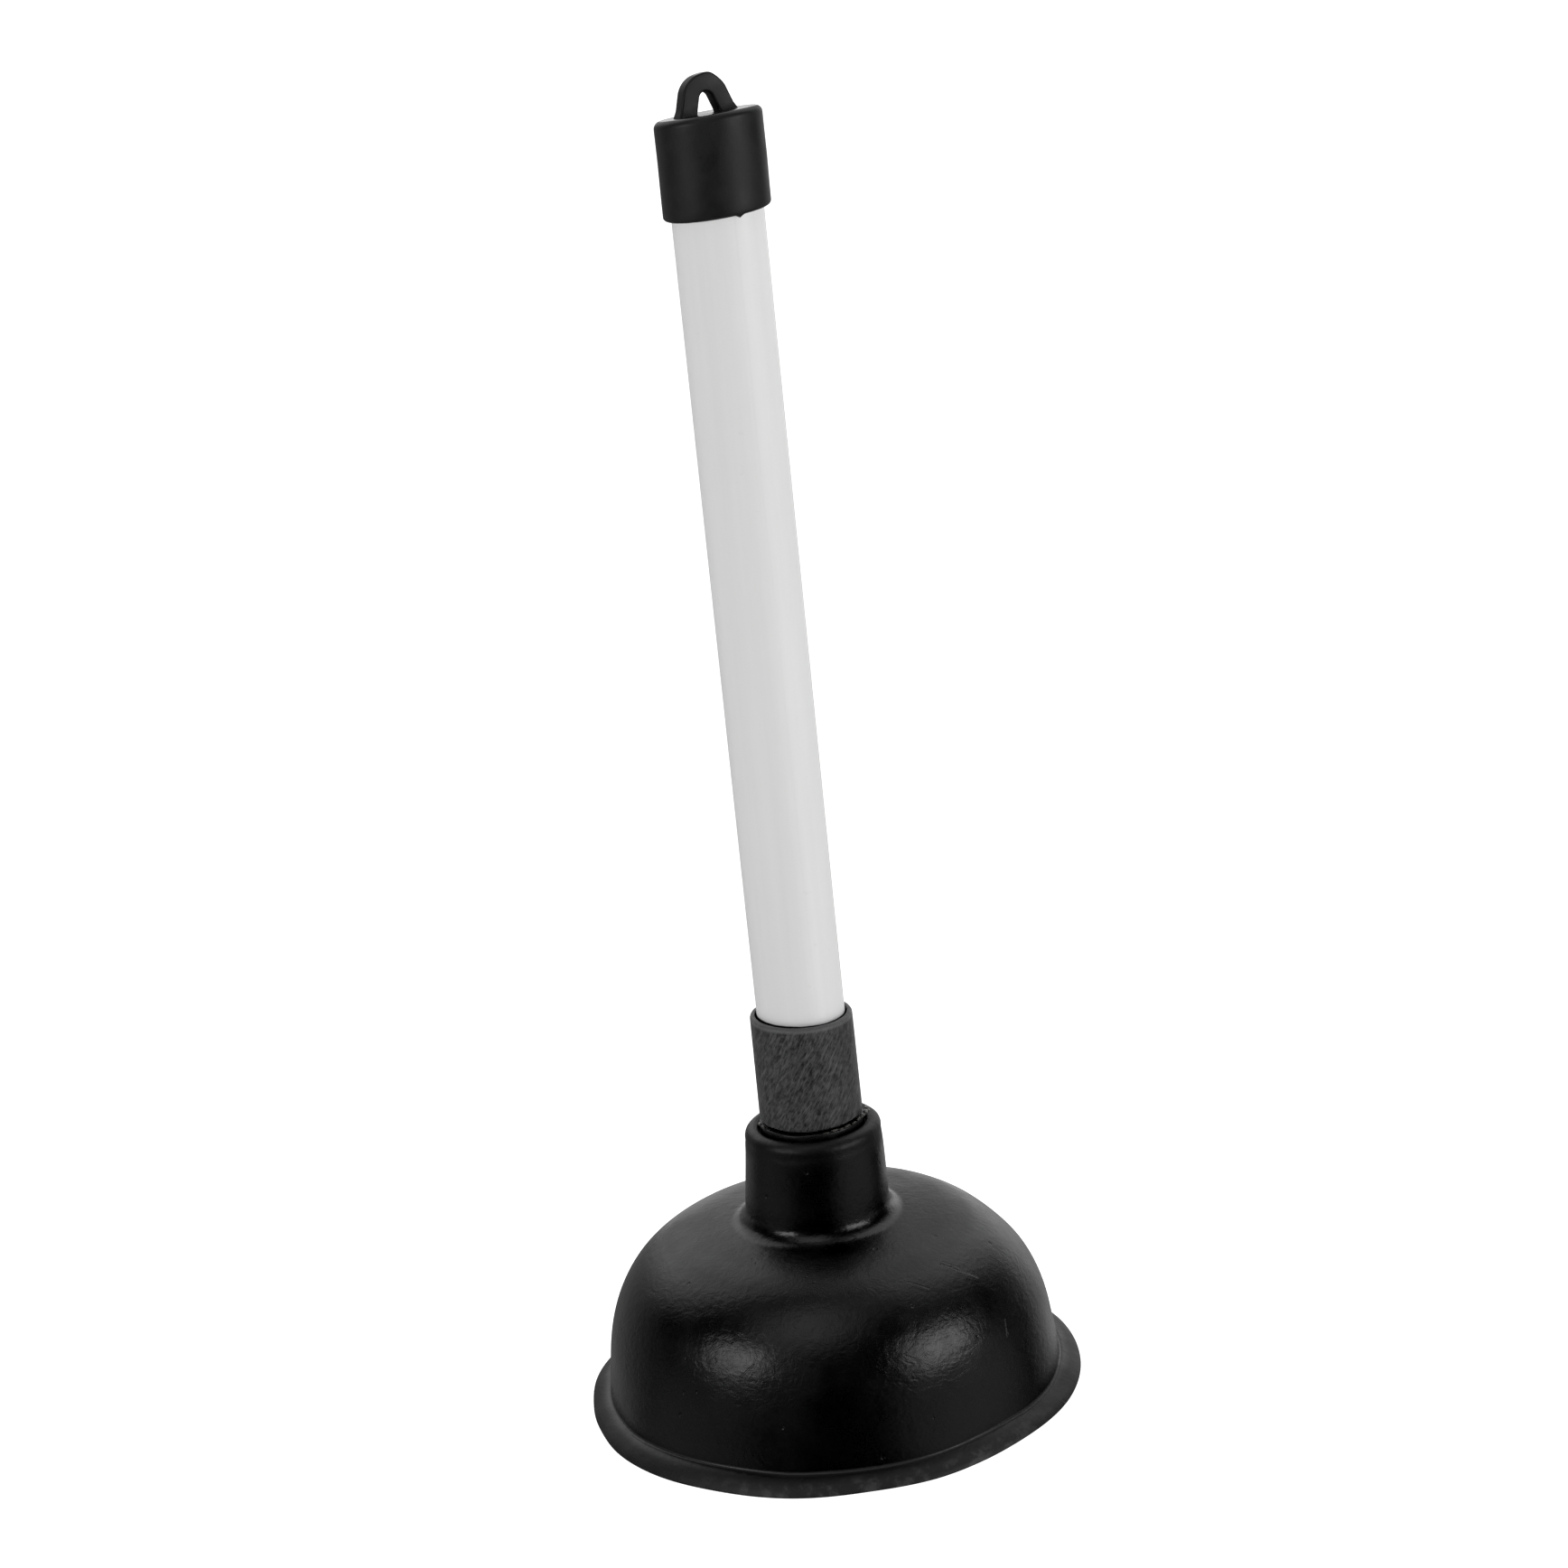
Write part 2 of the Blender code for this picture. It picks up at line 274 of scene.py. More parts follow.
def arc(centre, radius, start, end, steps):
    """Points on an arc, from one angle to another in degrees, counted from +radius towards +height."""
    points = []
    for step in range(steps + 1):
        angle = math.radians(start + (end - start) * step / steps)
        points.append((centre[0] + radius * math.cos(angle), centre[1] + radius * math.sin(angle)))
    return points


def line(start, end, steps):
    """Points from start towards end, leaving out the end."""
    return [
        (start[0] + (end[0] - start[0]) * step / steps, start[1] + (end[1] - start[1]) * step / steps)
        for step in range(steps)
    ]


def bell_curve(radius, height, base, steps, smallest=0.0):
    """Quarter of a superellipse, from its top down to its foot, starting at the smallest radius."""
    first = math.acos((smallest / radius) ** (BELL_RADIAL_POWER / 2))
    points = []
    for step in range(steps + 1):
        angle = first * (1 - step / steps)
        points.append((
            radius * max(math.cos(angle), 0.0) ** (2 / BELL_RADIAL_POWER),
            base + height * math.sin(angle) ** (2 / BELL_AXIAL_POWER),
        ))
    return points


def add_object(name, mesh, sharp=35.0):
    mesh.shade_smooth()
    mesh.set_sharp_from_angle(angle=math.radians(sharp))
    made = bpy.data.objects.new(name, mesh)
    bpy.context.scene.collection.objects.link(made)
    return made


def turned(name, outline, segments, reshape=None, sharp=35.0):
    """Spins an outline about Z into one closed solid, and moves each point by the reshape function."""
    mesh = bpy.data.meshes.new(name)
    bm = bmesh.new()
    is_ring = outline[0] == outline[-1]
    points = outline[:-1] if is_ring else outline
    verts = [bm.verts.new((radius, 0.0, height)) for radius, height in points]
    edges = [bm.edges.new(pair) for pair in zip(verts, verts[1:])]
    if is_ring:
        edges.append(bm.edges.new((verts[-1], verts[0])))
    bmesh.ops.spin(
        bm, geom=verts + edges, cent=(0, 0, 0), axis=(0, 0, 1), angle=math.tau, steps=segments, use_merge=True
    )
    bmesh.ops.remove_doubles(bm, verts=bm.verts, dist=0.001 * MM)
    bmesh.ops.recalc_face_normals(bm, faces=bm.faces)
    bm.normal_update()
    if reshape:
        moved = [reshape(vert.co.copy(), vert.normal.copy()) for vert in bm.verts]
        for vert, place in zip(bm.verts, moved):
            vert.co = place
    bm.to_mesh(mesh)
    bm.free()
    return add_object(name, mesh, sharp)


# ---------------------------------------------------------------- material building

class Look:
    """A Principled material with helpers that add nodes and return their output sockets."""

    def __init__(self, name, colour, roughness, specular=0.5):
        self.material = bpy.data.materials.new(name)
        self.material.use_nodes = True
        self.nodes = self.material.node_tree.nodes
        self.links = self.material.node_tree.links
        self.shader = self.nodes["Principled BSDF"]
        self.shader.inputs["Base Color"].default_value = (*colour, 1.0)
        self.shader.inputs["Roughness"].default_value = roughness
        self.shader.inputs["Specular IOR Level"].default_value = specular
        self.place = self.nodes.new("ShaderNodeTexCoord").outputs["Object"]

    def link(self, source, target):
        self.links.new(source, target)

    def maths(self, operation, first, second=None, third=None):
        node = self.nodes.new("ShaderNodeMath")
        node.operation = operation
        for socket, value in zip(node.inputs, (first, second, third)):
            if value is None:
                continue
            if isinstance(value, (int, float)):
                socket.default_value = value
            else:
                self.link(value, socket)
        return node.outputs[0]

    def stretched(self, scale, twist=0.0):
        """Object coordinates scaled per axis, after turning about Z by twist radians per metre of height."""
        source = self.place
        if twist:
            parts = self.nodes.new("ShaderNodeSeparateXYZ")
            self.link(source, parts.inputs[0])
            rotate = self.nodes.new("ShaderNodeVectorRotate")
            rotate.rotation_type = "Z_AXIS"
            self.link(source, rotate.inputs["Vector"])
            self.link(self.maths("MULTIPLY", parts.outputs["Z"], twist), rotate.inputs["Angle"])
            source = rotate.outputs[0]
        node = self.nodes.new("ShaderNodeVectorMath")
        node.operation = "MULTIPLY"
        node.inputs[1].default_value = scale
        self.link(source, node.inputs[0])
        return node.outputs[0]

    def noise(self, scale, detail=3.0, rough=0.5, stretch=(1, 1, 1), twist=0.0, distortion=0.0):
        node = self.nodes.new("ShaderNodeTexNoise")
        node.inputs["Scale"].default_value = scale
        node.inputs["Detail"].default_value = detail
        node.inputs["Roughness"].default_value = rough
        node.inputs["Distortion"].default_value = distortion
        self.link(self.stretched(stretch, twist), node.inputs["Vector"])
        return node.outputs["Fac"]

    def cells(self, scale, feature="F1", stretch=(1, 1, 1), randomness=1.0):
        node = self.nodes.new("ShaderNodeTexVoronoi")
        node.feature = feature
        node.inputs["Scale"].default_value = scale
        node.inputs["Randomness"].default_value = randomness
        self.link(self.stretched(stretch), node.inputs["Vector"])
        return node.outputs["Distance"]

    def strokes(self, marks, half_width, fade):
        """0 on a set of short straight marks on the bell and 1 away from them."""
        nearest = None
        for start, end in marks:
            first = on_bell(*start)
            along = on_bell(*end) - first
            offset = self.vector("SUBTRACT", self.place, first)
            share = self.maths("DIVIDE", self.vector("DOT_PRODUCT", offset, along), along.length_squared)
            share.node.use_clamp = True
            scaled = self.vector("SCALE", None, None)
            scaled.node.inputs[0].default_value = along
            self.link(share, scaled.node.inputs["Scale"])
            distance = self.vector("DISTANCE", offset, scaled)
            nearest = distance if nearest is None else self.maths("MINIMUM", nearest, distance)
        return self.between(nearest, half_width, fade)

    def vector(self, operation, first, second):
        node = self.nodes.new("ShaderNodeVectorMath")
        node.operation = operation
        for socket, value in zip(node.inputs, (first, second)):
            if value is None:
                continue
            if isinstance(value, Vector):
                socket.default_value = value
            else:
                self.link(value, socket)
        return node.outputs["Value" if operation in ("DOT_PRODUCT", "DISTANCE") else "Vector"]

    def facing_up(self):
        """How far the surface faces up, from -1 to 1."""
        normal = self.nodes.new("ShaderNodeTexCoord").outputs["Normal"]
        return self.vector("DOT_PRODUCT", normal, Vector((0, 0, 1)))

    def lip_lift(self):
        """How far the lip is lifted here, from the same lobes that lift its mesh."""
        flat = self.vector("NORMALIZE", self.stretched((1, 1, 0)), None)
        total = None
        for place, size, half_width in LIP_LIFTS:
            facing = self.vector("DOT_PRODUCT", flat, around(place))
            lobe = self.between(facing, math.cos(math.radians(half_width)), 1.0, 0.0, size)
            total = lobe if total is None else self.maths("ADD", total, lobe)
        return total

    def between(self, value, from_low, from_high, to_low=0.0, to_high=1.0):
        node = self.nodes.new("ShaderNodeMapRange")
        node.interpolation_type = "SMOOTHSTEP"
        node.inputs["From Min"].default_value = from_low
        node.inputs["From Max"].default_value = from_high
        node.inputs["To Min"].default_value = to_low
        node.inputs["To Max"].default_value = to_high
        self.link(value, node.inputs["Value"])
        return node.outputs["Result"]

    def mix(self, share, first, second):
        """Blends two colours, each a tuple or a socket."""
        node = self.nodes.new("ShaderNodeMix")
        node.data_type = "RGBA"
        self.link(share, node.inputs["Factor"])
        for socket, value in ((node.inputs[6], first), (node.inputs[7], second)):
            if isinstance(value, tuple):
                socket.default_value = (*value, 1.0)
            else:
                self.link(value, socket)
        return node.outputs[2]

    def colour(self, source):
        self.link(source, self.shader.inputs["Base Color"])

    def roughness(self, source):
        self.link(source, self.shader.inputs["Roughness"])

    def bump(self, layers):
        """Stacks bumps, each a height socket and the depth in metres that 0 to 1 stands for."""
        below = None
        for height, depth in layers:
            node = self.nodes.new("ShaderNodeBump")
            node.inputs["Strength"].default_value = 1.0
            node.inputs["Distance"].default_value = depth
            self.link(height, node.inputs["Height"])
            if below:
                self.link(below, node.inputs["Normal"])
            below = node.outputs["Normal"]
        self.link(below, self.shader.inputs["Normal"])


def lip_dust_and_painted_sheen(look, height, on_lip, skin):
    """The skin's colour with the lip's dust and painted sheen over it, paler scuffs that are partly painted
    sheen, and a painted highlight line at the wall's foot.
    """
    # Partly dust and partly painted sheen: the lip is coloured paler in patches, standing in for the light it
    # reflects from above.
    patches = look.between(look.noise(90, detail=5, rough=0.65), 0.35, 0.65, 0.3, 1.0)
    dusted_and_sheen = look.mix(look.maths("MULTIPLY", on_lip, patches), skin, (0.0065, 0.0065, 0.0068))
    # Paler scuffs on the low rim, strongest at one angle round from the camera: partly scuffs and partly a
    # painted sheen.
    scuffs = look.between(look.noise(200, detail=5, rough=0.7), 0.44, 0.60, 0.2, 1.0)
    facing = look.vector("DOT_PRODUCT", look.place, around(SCUFFS_AND_SHEEN_TURN))
    at_front = look.between(facing, 0.50 * RIM_RADIUS, 0.95 * RIM_RADIUS, 0.1, 1.0)
    low_rim = look.maths("MULTIPLY", look.between(height, *SCUFFED_AND_LIT_LIP, 1.0, 0.0), scuffs)
    scuffed = look.mix(look.maths("MULTIPLY", low_rim, at_front), dusted_and_sheen, (0.045, 0.045, 0.0455))
    # Painted highlight: a pale line following the crease at the wall's foot, where the concave fillet would
    # catch the light.
    unlifted = look.maths("SUBTRACT", height, look.lip_lift())
    from_crease = look.maths("ABSOLUTE", look.maths("SUBTRACT", unlifted, LIP_TOP + CREASE_RISE))
    painted_crease_highlight = look.between(from_crease, *CREASE_EDGE, 0.8, 0.0)
    return look.mix(painted_crease_highlight, scuffed, (0.030, 0.030, 0.0305))


def rubber_look():
    """Black moulded rubber: a leathery skin with pinhole pits, small scratches and a thin grey bloom."""
    look = Look("cup_rubber", (0.003, 0.003, 0.003), 0.3)
    bloom = look.between(look.noise(38, detail=5, rough=0.6), 0.42, 0.72)
    skin = look.noise(520, detail=4, rough=0.62, distortion=1.4)
    folds = look.between(look.cells(560, feature="SMOOTH_F1"), 0.15, 0.75)
    swirls = look.noise(210, detail=3, rough=0.55, stretch=(1, 1, 1.8), distortion=2.0)
    pits = look.between(look.cells(130), 0.05, 0.085)
    bloomed = look.mix(bloom, (0.0016, 0.0016, 0.0017), (0.0040, 0.0040, 0.0042))
    height = look.vector("DOT_PRODUCT", look.place, Vector((0, 0, 1)))
    on_lip = look.between(height, *DUSTY_AND_LIT_LIP, 1.0, 0.0)
    marks = look.strokes(SCRATCHES, 0.10 * MM, 0.28 * MM)
    look.colour(look.mix(marks, (0.014, 0.014, 0.0145), lip_dust_and_painted_sheen(look, height, on_lip, bloomed)))
    worn = look.between(look.noise(75, detail=4, rough=0.6), 0.3, 0.7, 0.25, 0.34)
    foot = look.maths("ABSOLUTE", look.maths("SUBTRACT", height, NECK_FOOT))
    sleek = look.maths("SUBTRACT", worn, look.between(foot, 1.5 * MM, 3.5 * MM, 0.09, 0.0))
    mouth = look.between(height, *MATTE_MOUTH, 0.0, 0.16)
    from_shoulder = look.maths("ABSOLUTE", look.maths("SUBTRACT", height, MATTE_SHOULDER))
    shoulder = look.between(from_shoulder, 1 * MM, 3 * MM, 0.1, 0.0)
    upper = look.maths("ADD", look.maths("ADD", sleek, mouth), shoulder)
    look.roughness(look.maths("ADD", upper, look.maths("MULTIPLY", on_lip, 0.24)))
    look.bump((
        (swirls, 0.09 * MM),
        (skin, 0.065 * MM),
        (folds, 0.018 * MM),
        (pits, 0.12 * MM),
        (marks, 0.10 * MM),
    ))
    return look.material


def socket_look():
    """Charcoal plastic, scuffed all over with short slanting strokes."""
    look = Look("socket_charcoal", (0.03, 0.03, 0.031), 0.5)
    strokes = look.noise(2300, detail=3, rough=0.6, stretch=(1, 1, 0.22), twist=-38.0)
    crossing = look.noise(1700, detail=2, rough=0.6, stretch=(1, 1, 0.14), twist=-70.0)
    mottle = look.noise(420, detail=5, rough=0.7)
    share = look.between(strokes, 0.42, 0.68)
    share_crossing = look.between(crossing, 0.50, 0.72)
    dark = look.between(look.noise(760, detail=4, rough=0.7), 0.35, 0.65)
    base = look.mix(dark, (0.008, 0.008, 0.0085), (0.042, 0.042, 0.043))
    scuffed = look.mix(look.maths("MULTIPLY", share, 0.8), base, (0.080, 0.080, 0.082))
    crossed = look.mix(look.maths("MULTIPLY", share_crossing, 0.6), scuffed, (0.10, 0.10, 0.102))
    # The sleeve is coloured paler in a band just under its slanted mouth, palest at the top.
    mouth = look.vector("DOT_PRODUCT", look.place, Vector((0, 0, 1)) - RIGHT * SOCKET_TOP_SLANT)
    paler_rim_band = look.between(mouth, SOCKET_TOP - 1.5 * MM, SOCKET_TOP - 0.7 * MM, 0.0, 0.6)
    look.colour(look.mix(paler_rim_band, crossed, (0.135, 0.135, 0.137)))
    look.roughness(look.between(strokes, 0.3, 0.7, 0.38, 0.52))
    look.bump(((mottle, 0.08 * MM), (dark, 0.03 * MM), (strokes, 0.040 * MM), (crossing, 0.030 * MM)))
    return look.material


def sheath_look():
    """White plastic film round the core: satin and streaked along it, with a painted lit side, lighter to the
    right, and a painted shade line, near-black at the socket's mouth.
    """
    look = Look("sheath_white", (0.7, 0.7, 0.7), 0.36)
    streaks = look.noise(420, detail=3, rough=0.5, stretch=(1, 1, 0.022))
    clouds = look.noise(55, detail=3, rough=0.5, stretch=(1, 1, 0.4))
    marks = look.between(look.noise(160, detail=4, rough=0.7), 0.66, 0.76)
    # Painted light: the film's right side is coloured lighter than its left, standing in for the right lamp's
    # light; the edge between them wavers along the handle.
    waver = look.maths("MULTIPLY", look.maths("SUBTRACT", look.noise(30, stretch=(0, 0, 1)), 0.5), 3 * MM)
    across = look.maths("ADD", look.vector("DOT_PRODUCT", look.place, around(100)), waver)
    painted_lit_side = look.between(across, -0.15 * SHEATH_RADIUS, 0.45 * SHEATH_RADIUS)
    shaded_side_colour = look.mix(streaks, (0.655, 0.655, 0.655), (0.72, 0.72, 0.72))
    lit_side_colour = look.mix(streaks, (0.735, 0.735, 0.735), (0.80, 0.80, 0.80))
    base = look.mix(painted_lit_side, shaded_side_colour, lit_side_colour)
    clouded = look.mix(look.between(clouds, 0.3, 0.8, 0.0, 0.3), base, (0.69, 0.69, 0.685))
    marked = look.mix(look.maths("MULTIPLY", marks, 0.18), clouded, (0.50, 0.50, 0.49))
    mouth = look.vector("DOT_PRODUCT", look.place, Vector((0, 0, 1)) - RIGHT * SOCKET_TOP_SLANT)
    # Painted shade: near-black below an uneven, leaning line just above the socket's mouth, where shade falls
    # in the gap.
    edge = look.maths("MULTIPLY", look.noise(260, detail=2), SHADE_LINE_HEIGHT)
    edge = look.maths("SUBTRACT", edge, look.vector("DOT_PRODUCT", look.place, RIGHT * SHADE_LINE_LEAN))
    unshaded = look.between(look.maths("SUBTRACT", mouth, edge), SOCKET_TOP - 0.15 * MM, SOCKET_TOP + 0.1 * MM)
    look.colour(look.mix(unshaded, (0.012, 0.012, 0.012), marked))
    look.roughness(look.between(clouds, 0.3, 0.7, 0.32, 0.42))
    look.bump(((streaks, 0.018 * MM), (look.noise(900, detail=2), 0.004 * MM)))
    return look.material


def cap_look():
    """Black moulded cap: matte, faintly grained, a little paler where it has been handled."""
    look = Look("cap_black", (0.014, 0.014, 0.015), 0.46)
    grain = look.noise(1900, detail=3, rough=0.6)
    clouds = look.noise(120, detail=4, rough=0.6)
    handled = look.between(clouds, 0.35, 0.75)
    look.colour(look.mix(handled, (0.0062, 0.0062, 0.0064), (0.0106, 0.0106, 0.0109)))
    upward = look.between(look.facing_up(), 0.90, 0.97, 0.0, 0.26)
    look.roughness(look.maths("SUBTRACT", look.between(clouds, 0.3, 0.7, 0.42, 0.54), upward))
    scuffs = look.between(look.noise(300, detail=3, stretch=(1, 1, 0.25)), 0.62, 0.75)
    look.bump(((grain, 0.012 * MM), (look.noise(210, detail=3), 0.05 * MM), (scuffs, 0.01 * MM)))
    return look.material


def bush_look():
    """Hard black plastic with a moulded sheen."""
    look = Look("bush_black", (0.010, 0.010, 0.011), 0.3)
    clouds = look.noise(300, detail=3)
    look.colour(look.mix(clouds, (0.007, 0.007, 0.0075), (0.015, 0.015, 0.016)))
    look.roughness(look.between(clouds, 0.3, 0.7, 0.22, 0.42))
    look.bump(((look.noise(700, detail=3), 0.03 * MM),))
    return look.material


def glue_look():
    """Set glue: dark, wet-looking and uneven."""
    look = Look("set_glue", (0.03, 0.029, 0.027), 0.14)
    clouds = look.noise(900, detail=3)
    look.colour(look.mix(clouds, (0.018, 0.017, 0.016), (0.075, 0.072, 0.066)))
    look.roughness(look.between(clouds, 0.3, 0.7, 0.08, 0.25))
    look.bump(((look.noise(1400, detail=2), 0.08 * MM),))
    return look.material


def wood_look():
    """Plain turned dowel, with grain along it."""
    look = Look("dowel_wood", (0.52, 0.36, 0.20), 0.65)
    grain = look.noise(260, detail=5, rough=0.6, stretch=(1, 1, 0.05), distortion=0.4)
    look.colour(look.mix(grain, (0.36, 0.23, 0.12), (0.62, 0.45, 0.27)))
    look.roughness(look.between(grain, 0.3, 0.7, 0.55, 0.75))
    look.bump(((grain, 0.05 * MM),))
    return look.material


# ---------------------------------------------------------------- pieces

def waves(turn, listed):
    """The sum of the listed waves at an angle round from the camera."""
    return sum(size * math.exp(-(((turn - place) / half_width) ** 2)) for place, size, half_width in listed)


def lobes(turn, listed):
    """The sum of the listed lobes at an angle round from the camera. Each ends at its half width."""
    total = 0.0
    for place, size, half_width in listed:
        facing = math.cos(math.radians(turn - place))
        total += size * smooth(facing, math.cos(math.radians(half_width)), 1.0)
    return total


def dents(turn, height):
    """How far the bell is pushed in at an angle round from the camera and a height."""
    depth = 0.0
    for place, deepest, half_width, middle, half_height in BELL_DENTS:
        away = ((turn - place) / half_width) ** 2 + ((height - middle) / half_height) ** 2
        depth += deepest * math.exp(-away)
    return depth


def reshape_cup(place, normal):
    """Shifts the bell, bends the lip and makes the skin undulate. The bore and the floor plane stay."""
    level = Vector((place.x, place.y, 0.0))
    radius = level.length
    if radius < BORE_RADIUS + BORE_MARGIN:
        return place
    moved = place - RIGHT * CUP_SHIFT * (1 - smooth(place.z, SHIFT_FADE_START, NECK_TOP - 2 * MM))
    out = level.normalized()
    turn = turn_of(out)
    outermost = smooth(radius, BELL_RADIUS - 4 * MM, RIM_RADIUS) * (1 - smooth(place.z, *LIP_FADE))
    moved -= out * ((waves(turn, LIP_WAVES) - LIP_SPREAD) * outermost + dents(turn, place.z))
    lifted = smooth(place.z, 0.0, LIP_TOP) * (1 - smooth(place.z, *LIP_FADE))
    moved.z += lobes(turn, LIP_LIFTS) * lifted
    swell = noise.noise(place * 26) + 0.45 * noise.noise(place * 75 + Vector((3.1, 0.7, 5.2)))
    swell += MOUTH_UNEVENNESS * noise.noise(place * 190) * smooth(place.z, *UNEVEN_MOUTH)
    flat = Vector((normal.x, normal.y, 0.0)) if place.z < 1 * MM else normal
    return moved + flat * CUP_UNDULATION * swell * smooth(radius, BORE_RADIUS + BORE_MARGIN, NECK_TOP_RADIUS)


def mouth_crease(height):
    """The depth of the shallow crease round the neck, just under its rounded lip."""
    away = (height - (NECK_TOP - MOUTH_CREASE_DROP)) / MOUTH_CREASE_WIDTH
    return MOUTH_CREASE * math.exp(-away * away)


def cup_outline():
    """The cup's section: bore, mouth, neck, crown, lip and the inside of the bell, as one closed line."""
    mouth = COLLAR_RADIUS + GAP
    crest = NECK_TOP_RADIUS - MOUTH_OUTER_ROUND
    outline = line((0.0, BORE_FLOOR), (BORE_RADIUS, BORE_FLOOR), 2)
    outline += line((BORE_RADIUS, BORE_FLOOR), (BORE_RADIUS, COLLAR_BOTTOM - GAP), 4)
    outline += [(BORE_RADIUS, COLLAR_BOTTOM - GAP), (mouth, COLLAR_BOTTOM - GAP)]
    outline += arc((mouth + MOUTH_INNER_ROUND, NECK_TOP - MOUTH_INNER_ROUND), MOUTH_INNER_ROUND, 180, 90, 8)
    outline += arc((crest, NECK_TOP - MOUTH_OUTER_ROUND), MOUTH_OUTER_ROUND, 90, 0, 10)[:-1]

    fillet_end = NECK_BASE_RADIUS + FOOT_FILLET
    crown = [
        (radius + WALL_FLARE * (1 - smooth(height, BELL_BASE, FLARE_END)),
         height - SHOULDER_SAG * (1 - smooth(radius, fillet_end, SAG_END)))
        for radius, height in bell_curve(BELL_RADIUS, BELL_HEIGHT, BELL_BASE, 56, smallest=fillet_end)
    ]
    fillet_top = crown[0][1] + FOOT_FILLET
    neck = line((NECK_TOP_RADIUS, NECK_TOP - MOUTH_OUTER_ROUND), (NECK_BASE_RADIUS, fillet_top), 40)
    outline += [(radius - mouth_crease(height), height) for radius, height in neck]
    outline += arc((fillet_end, fillet_top), FOOT_FILLET, 180, 270, 12)[:-1]
    outline += [point for point in crown if point[1] > LIP_TOP + WALL_FOOT_FILLET]
    wall_foot = (LIP_INNER, LIP_TOP + WALL_FOOT_FILLET)
    outline += arc(wall_foot, WALL_FOOT_FILLET, 180, 262, 8)
    for step in range(1, LIP_STEPS + 1):
        slope = math.radians(90 * (1 - step / LIP_STEPS))
        across = (RIM_RADIUS - LIP_INNER) * math.cos(slope) ** (2 / LIP_POWER)
        rise = (LIP_TOP - RIM_EDGE) * math.sin(slope) ** (2 / LIP_POWER)
        outline.append((LIP_INNER + across, RIM_EDGE + rise))
    outline += arc((RIM_RADIUS - RIM_EDGE, RIM_EDGE), RIM_EDGE, 0, -90, 5)[1:]
    foot = RIM_RADIUS - RIM_EDGE - RIM_FOOT_WIDTH
    inside = bell_curve(BELL_RADIUS - BELL_WALL, BELL_HEIGHT - BELL_WALL, BELL_BASE, 40)
    inside[-1] = (inside[-1][0], BELL_BASE + RIM_EDGE)
    outline += line((foot, 0.0), inside[-1], 5)
    outline += reversed(inside)
    return outline


def make_cup(look):
    cup = turned("cup_skin", cup_outline(), CUP_SEGMENTS, reshape_cup, sharp=60.0)
    cup.data.materials.append(look)
    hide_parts("rubber_cup")
    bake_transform(cup)


def make_bush(look):
    edge = RIM_EDGE
    outline = [(BUSH_BORE, BUSH_BOTTOM), (BUSH_RADIUS, BUSH_BOTTOM), (BUSH_RADIUS, COLLAR_BOTTOM)]
    outline += [(COLLAR_RADIUS, COLLAR_BOTTOM)]
    outline += arc((COLLAR_RADIUS - edge, COLLAR_TOP - edge), edge, 0, 90, 6)
    outline += [(BUSH_BORE, COLLAR_TOP), (BUSH_BORE, BUSH_BOTTOM)]
    bush = turned("bush_ring", outline, HANDLE_SEGMENTS, reshape_collar)
    bush.data.materials.append(look)
    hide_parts("neck_bush")
    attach(bush, "handle")


def reshape_collar(place, normal):
    """Leaves the collar's top a little uneven."""
    lift = noise.noise(place * 160) * 0.25 * MM
    return place + Vector((0, 0, lift)) * smooth(place.z, COLLAR_TOP - 1.5 * MM, COLLAR_TOP)


def reshape_socket(place, normal):
    """Slants the socket's mouth and roughens its rim."""
    high = smooth(place.z, SOCKET_FLOOR + 4 * MM, SOCKET_TOP)
    slant = place.dot(RIGHT) * SOCKET_TOP_SLANT * high
    chatter = noise.noise(place * 420) * 0.06 * MM * high
    return place + Vector((0, 0, slant)) + normal * chatter


def make_socket(look):
    inside = SHEATH_RADIUS + GAP
    mouth = SHEATH_RADIUS + SOCKET_MOUTH_GAP
    shoulder = SOCKET_TOP - SOCKET_MOUTH_ROUND
    outline = [(0.0, SOCKET_FLOOR)] + line((inside, SOCKET_FLOOR), (inside, shoulder - 2 * MM), 10)
    outline += [(inside, shoulder - 2 * MM), (mouth, shoulder), (mouth, SOCKET_TOP - 0.1 * MM)]
    outline += [(mouth + 0.1 * MM, SOCKET_TOP)]
    outline += arc((SOCKET_TOP_RADIUS - SOCKET_MOUTH_ROUND, shoulder), SOCKET_MOUTH_ROUND, 90, 0, 10)[:-1]
    outline += line((SOCKET_TOP_RADIUS, shoulder), (SOCKET_BOTTOM_RADIUS, SOCKET_BOTTOM + SOCKET_EDGE), 14)
    outline += arc((SOCKET_BOTTOM_RADIUS - SOCKET_EDGE, SOCKET_BOTTOM + SOCKET_EDGE), SOCKET_EDGE, 0, -90, 5)
    outline += [(SHOULDER_RADIUS, SOCKET_BOTTOM), (SHOULDER_RADIUS, COLLAR_TOP + GAP)]
    outline += [(SPIGOT_RADIUS, COLLAR_TOP + GAP), (SPIGOT_RADIUS, SPIGOT_BOTTOM), (0.0, SPIGOT_BOTTOM)]
    socket = turned("socket_sleeve", outline, HANDLE_SEGMENTS, reshape_socket)
    socket.data.materials.append(look)
    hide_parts("handle_socket")
    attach(socket, "handle")


